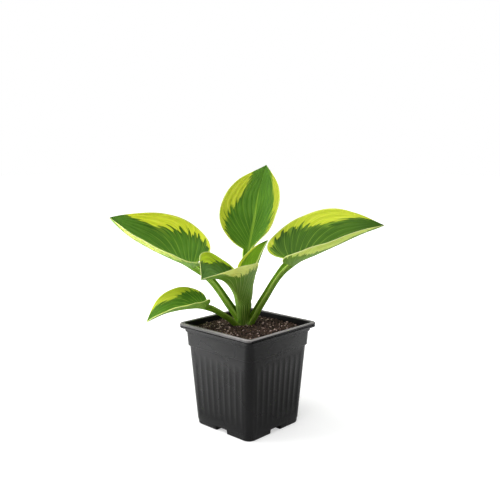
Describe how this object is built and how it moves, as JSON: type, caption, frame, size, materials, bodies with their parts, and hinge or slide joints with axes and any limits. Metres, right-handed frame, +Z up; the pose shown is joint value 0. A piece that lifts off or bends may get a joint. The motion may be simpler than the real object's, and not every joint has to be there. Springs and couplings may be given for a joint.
{
  "type": "potted hosta plant",
  "caption": "Young variegated hosta with broad pointed leaves on channelled stalks, growing from one crown in a square ribbed nursery pot of dark potting soil.",
  "frame": {"origin": "middle of the pot's foot, on the surface that it stands on", "axes": "+Z up, along the pot's axis; the pot's four sides are square to X and Y; the two front leaves lean over the -Y side"},
  "size_m": [0.1959, 0.1633, 0.2351],
  "materials": {
    "pot_plastic": "satin",
    "potting_soil": "matte",
    "stalk": "satin",
    "leaf_blade": "satin"
  },
  "bodies": {
    "root": {"pot": "pot_plastic", "soil": "potting_soil", "crown": "stalk", "leaf_upright": "leaf_blade", "leaf_left": "leaf_blade", "leaf_right": "leaf_blade", "leaf_front": "leaf_blade", "leaf_inner": "leaf_blade", "leaf_low": "leaf_blade"}
  },
  "joints": []
}
